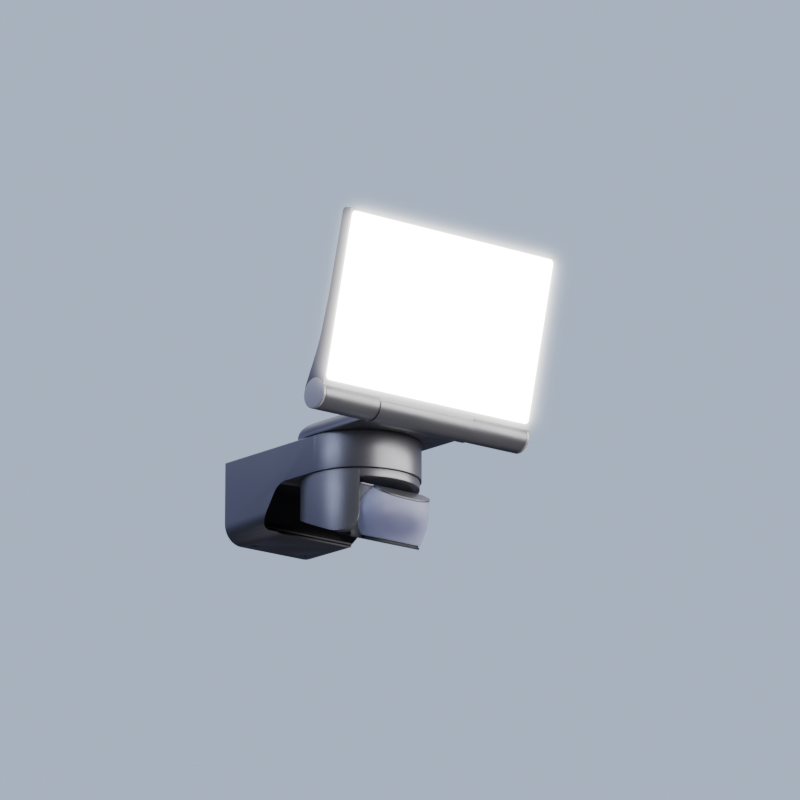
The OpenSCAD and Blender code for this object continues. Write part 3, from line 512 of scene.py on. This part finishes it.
def lens_profile():
    """The lens's wall, cut upright, as levels: up its outside, over its rounded top and down its inside."""
    turn = []
    for k in range(LENS_TURN + 1):
        a = math.pi / 2 * k / LENS_TURN
        turn.append((LENS_EDGE * (1 - math.sin(a)), LENS_EDGE * (1 - math.cos(a))))
    edge = LENS_EDGE / (LENS_HIGH - LENS_LOW)
    foot = [(0, -up, inward) for up, inward in reversed(turn)]
    outside = [(edge + (1 - 2 * edge) * k / LENS_LEVELS, 0, 0) for k in range(1, LENS_LEVELS)]
    top = [(1, down, inward) for down, inward in turn]
    inside = [(1 - k / LENS_LEVELS, 0, LENS_WALL) for k in range(LENS_LEVELS + 1)]
    return foot + outside + top + inside


def make_lens():
    """A smooth shell in place of the CAD lens, closed at its two upright ends."""
    rings = [lens_ring(*level) for level in lens_profile()]
    count = len(rings[0])
    verts = [p for ring in rings for p in ring]
    starts = [k * count for k in range(len(rings))]
    faces = []
    for low, high in zip(starts, starts[1:] + starts[:1]):
        faces += [(low + i, low + i + 1, high + i + 1, high + i) for i in range(count - 1)]
    faces.append(tuple(starts))
    faces.append(tuple(start + count - 1 for start in reversed(starts)))
    lens = new_piece("lens", verts, faces, "sensor_head", "milky_lens", ["sensor_lens"])
    add_smooth(lens)


# ---- Studio ---------------------------------------------------------------------------------------

# Each soft box's place and size, in metres, its power in watts and its colour. The right and the left one
# draw the bands along the arm.
SOFT_BOXES = {
    "right": ((1.5, -2.8, 0.45), (4.8, 1.7), 98, (1.0, 0.98, 1.0)),
    "left": ((-3.24, 0.05, 0.9), (1.7, 1.2), 17, (0.60, 0.68, 1.0)),
    "top": ((0.0, 0.6, 3.4), (2.2, 1.4), 40, (0.92, 0.95, 1.0)),
}
SOFT_BOX_AIM = Vector((0, -0.1, 0.03))
FLOOR_HEIGHT, FLOOR_HALF = -1.25, 30


def soft_box(name, place, size, power, colour):
    """A rectangular light that faces the object."""
    data = bpy.data.lights.new(name, "AREA")
    data.shape = "RECTANGLE"
    data.size, data.size_y = size
    data.energy = power
    data.color = colour
    light = bpy.data.objects.new(name, data)
    light.location = place
    light.rotation_mode = "QUATERNION"
    light.rotation_quaternion = (SOFT_BOX_AIM - Vector(place)).to_track_quat("-Z", "Y")
    bpy.context.scene.collection.objects.link(light)


def make_floor():
    """A floor for the camera only: it neither lights the object nor shows in its reflections."""
    sides = ((-1, -1), (1, -1), (1, 1), (-1, 1))
    corners = [(x * FLOOR_HALF, y * FLOOR_HALF, FLOOR_HEIGHT) for x, y in sides]
    mesh = bpy.data.meshes.new("floor")
    mesh.from_pydata(corners, [], [(0, 1, 2, 3)])
    floor = bpy.data.objects.new("floor", mesh)
    bpy.context.scene.collection.objects.link(floor)
    made = Shader("floor", (0.72, 0.74, 0.77), 0.8)
    made.colour(made.blend(made.noise(400, 3), (0.70, 0.72, 0.75), (0.74, 0.76, 0.79)))
    dress(floor, made.material)
    floor.visible_diffuse = False
    floor.visible_glossy = False


# The light from all round: from deep below, and then, in front of the object and behind it, from below, from
# level with it and from above. The bands say where one passes into the next.
DEPTHS = (0.13, 0.13, 0.155)
GROUND_FRONT, GROUND_BEHIND = (0.008, 0.009, 0.012), (0.008, 0.009, 0.016)
LEVEL_FRONT, LEVEL_BEHIND = (0.030, 0.032, 0.045), (0.15, 0.17, 0.34)
SKY_FRONT, SKY_BEHIND = (0.24, 0.25, 0.30), (0.78, 0.80, 0.96)
BEHIND_BAND = (-0.5, 0.6)
GROUND_BAND, LEVEL_BAND, SKY_BAND = (-0.75, -0.45), (-0.3, 0.2), (0.3, 0.8)
BACKDROP, BACKDROP_STRENGTH = (0.52, 0.65, 0.88, 1), 0.9


def make_world():
    """A pale backdrop for the camera. What lights the object is dark below, and brighter above and behind."""
    world = bpy.data.worlds.new("studio")
    world.use_nodes = True
    nodes, link = world.node_tree.nodes, world.node_tree.links.new
    direction = nodes.new("ShaderNodeTexCoord")
    parts = nodes.new("ShaderNodeSeparateXYZ")
    link(direction.outputs["Generated"], parts.inputs["Vector"])

    def rise(axis, band):
        made = nodes.new("ShaderNodeMapRange")
        made.interpolation_type = "SMOOTHSTEP"
        made.inputs["From Min"].default_value, made.inputs["From Max"].default_value = band
        link(parts.outputs[axis], made.inputs["Value"])
        return made.outputs["Result"]

    def mix(factor, first, second):
        made = nodes.new("ShaderNodeMix")
        made.data_type = "RGBA"
        link(factor, made.inputs["Factor"])
        for socket, colour in (("A", first), ("B", second)):
            if isinstance(colour, bpy.types.NodeSocket):
                link(colour, made.inputs[socket])
            else:
                made.inputs[socket].default_value = (*colour, 1)
        return made.outputs["Result"]

    behind = rise("Y", BEHIND_BAND)
    light = mix(rise("Z", GROUND_BAND), DEPTHS, mix(behind, GROUND_FRONT, GROUND_BEHIND))
    light = mix(rise("Z", LEVEL_BAND), light, mix(behind, LEVEL_FRONT, LEVEL_BEHIND))
    light = mix(rise("Z", SKY_BAND), light, mix(behind, SKY_FRONT, SKY_BEHIND))
    dome = nodes.new("ShaderNodeBackground")
    link(light, dome.inputs["Color"])
    backdrop = nodes["Background"]
    backdrop.inputs["Color"].default_value = BACKDROP
    backdrop.inputs["Strength"].default_value = BACKDROP_STRENGTH
    path = nodes.new("ShaderNodeLightPath")
    choose = nodes.new("ShaderNodeMixShader")
    link(path.outputs["Is Camera Ray"], choose.inputs["Fac"])
    link(dome.outputs["Background"], choose.inputs[1])
    link(backdrop.outputs["Background"], choose.inputs[2])
    link(choose.outputs["Shader"], nodes["World Output"].inputs["Surface"])
    bpy.context.scene.world = world


# How bright a point must be to glow, how strongly it does, and how far, as a share of the picture
GLOW_FROM, GLOW_STRENGTH, GLOW_SIZE = 2.0, 0.8, 0.035


def make_glow():
    """The halo that a lens draws round a lamp as bright as this one."""
    scene = bpy.context.scene
    scene.use_nodes = True
    nodes, link = scene.node_tree.nodes, scene.node_tree.links.new
    nodes.clear()
    picture = nodes.new("CompositorNodeRLayers")
    glare = nodes.new("CompositorNodeGlare")
    glare.glare_type = "BLOOM"
    glare.quality = "HIGH"
    glare.inputs["Threshold"].default_value = GLOW_FROM
    glare.inputs["Strength"].default_value = GLOW_STRENGTH
    glare.inputs["Size"].default_value = GLOW_SIZE
    result = nodes.new("CompositorNodeComposite")
    link(picture.outputs["Image"], glare.inputs["Image"])
    link(glare.outputs["Image"], result.inputs["Image"])


# ---- The scene ------------------------------------------------------------------------------------

materials = make_materials()
make_camera()
dress_parts()
for node, width in EDGE_WIDTHS.items():
    soften(node, width)
make_lens()
make_floor()
make_world()
for name, box in SOFT_BOXES.items():
    soft_box(name, *box)
make_glow()
